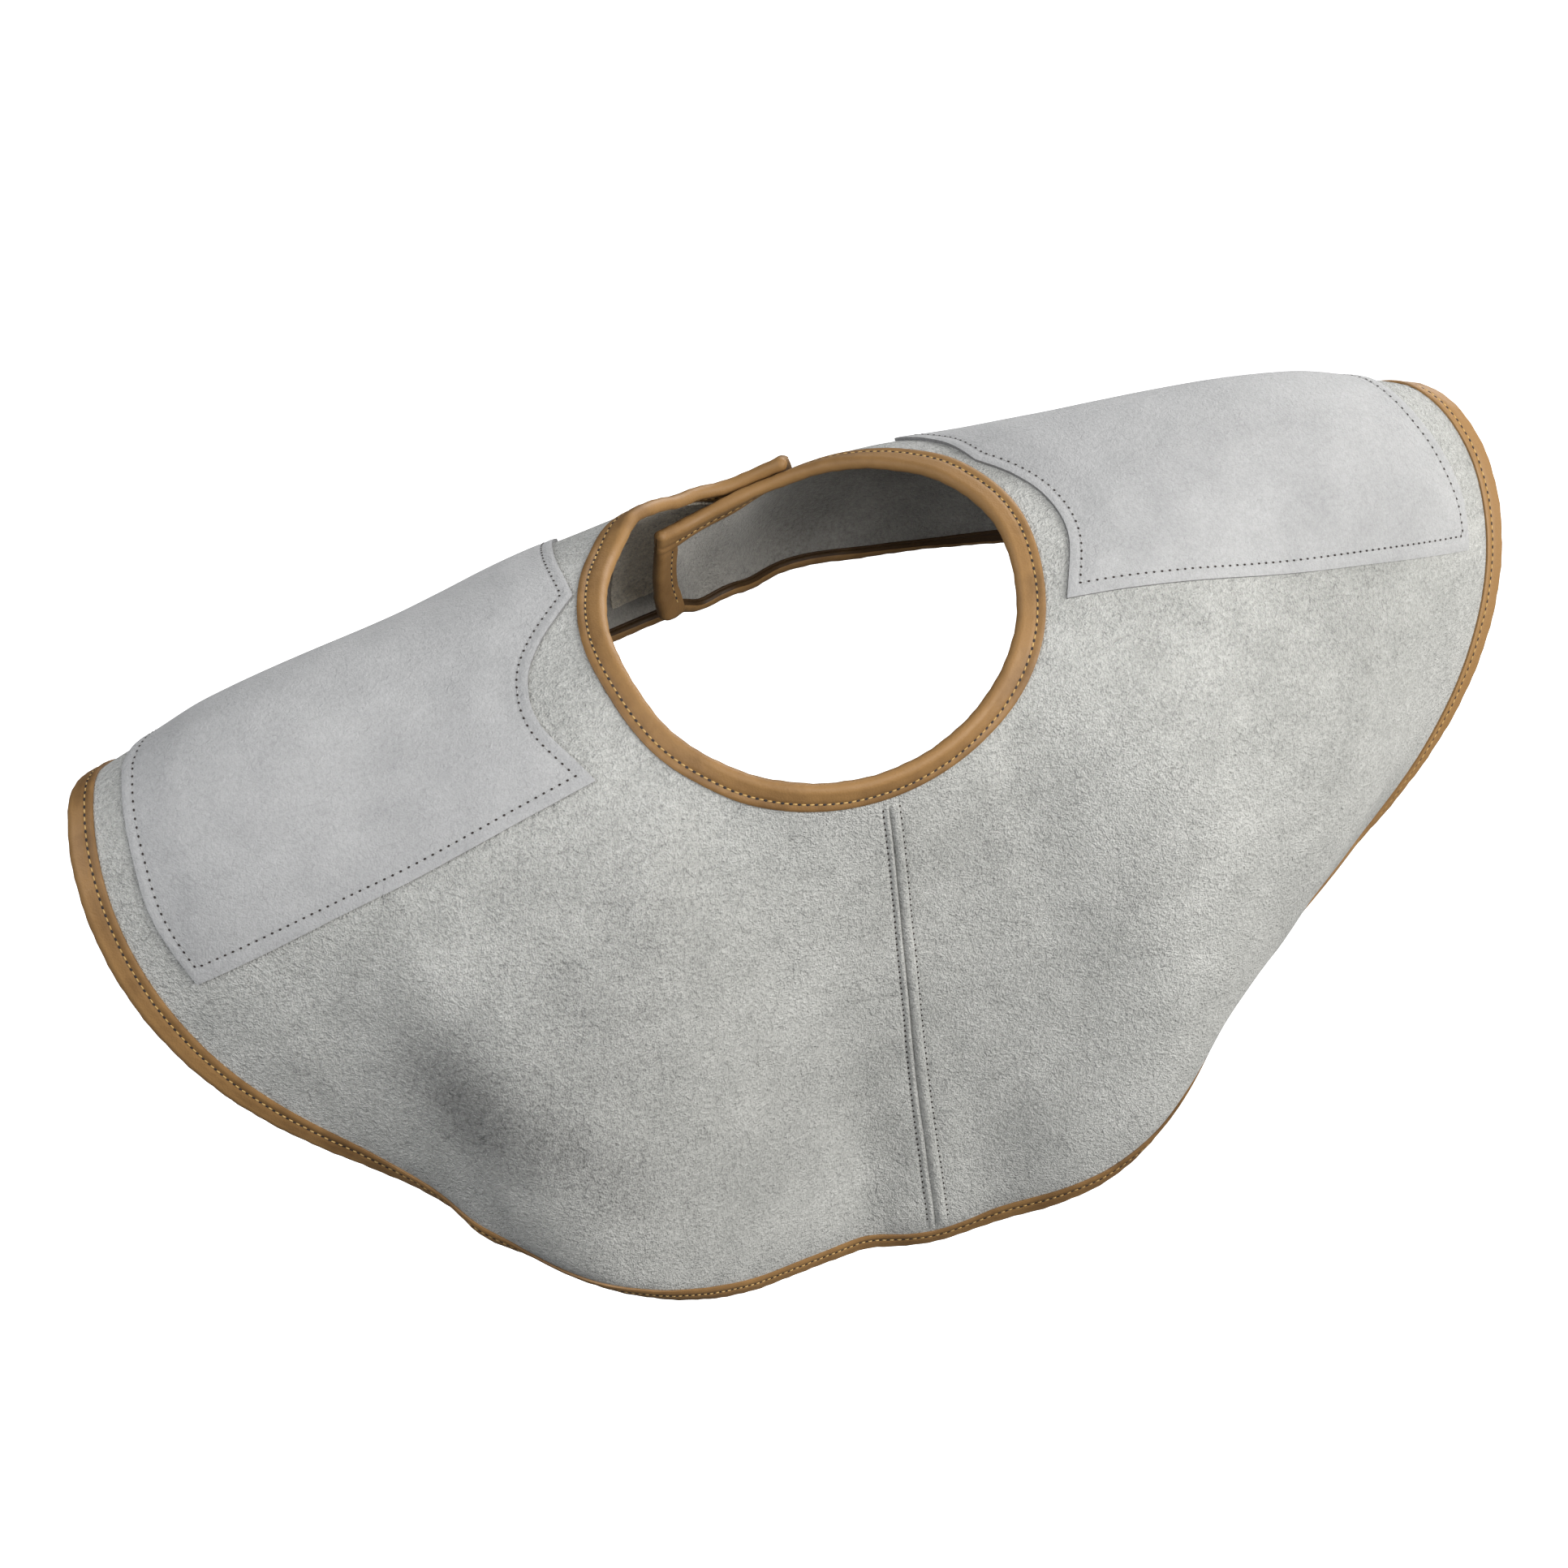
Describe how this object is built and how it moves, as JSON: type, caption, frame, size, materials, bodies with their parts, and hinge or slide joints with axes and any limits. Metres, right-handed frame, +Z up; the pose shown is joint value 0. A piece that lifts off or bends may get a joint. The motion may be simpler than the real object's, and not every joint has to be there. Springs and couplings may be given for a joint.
{
  "type": "leather shoulder pad vest",
  "caption": "Short grey suede cape worn over the shoulders, with padded shoulder patches, tan bound edges and a hook-and-loop lap at the back of the neck.",
  "frame": {"origin": "in the neck opening, on the line over the tops of the shoulders, level with the sides of the neck", "axes": "+X towards the right hand side of the picture, along the shoulders; +Y from the front to the back closure; +Z up"},
  "size_m": [0.5315, 0.2135, 0.2717],
  "materials": {
    "grey_suede": "napped suede, matte",
    "tan_leather": "smooth tan leather, satin",
    "tape_cloth": "brushed hook-and-loop tape"
  },
  "bodies": {
    "root": {"left_panel": "grey_suede", "right_panel": "grey_suede", "left_shoulder_pad": "grey_suede", "right_shoulder_pad": "grey_suede", "neck_binding": "tan_leather", "hem_binding": "tan_leather", "left_end_binding": "tan_leather", "right_end_binding": "tan_leather", "hook_tape": "tape_cloth", "loop_tape": "tape_cloth"}
  },
  "joints": []
}
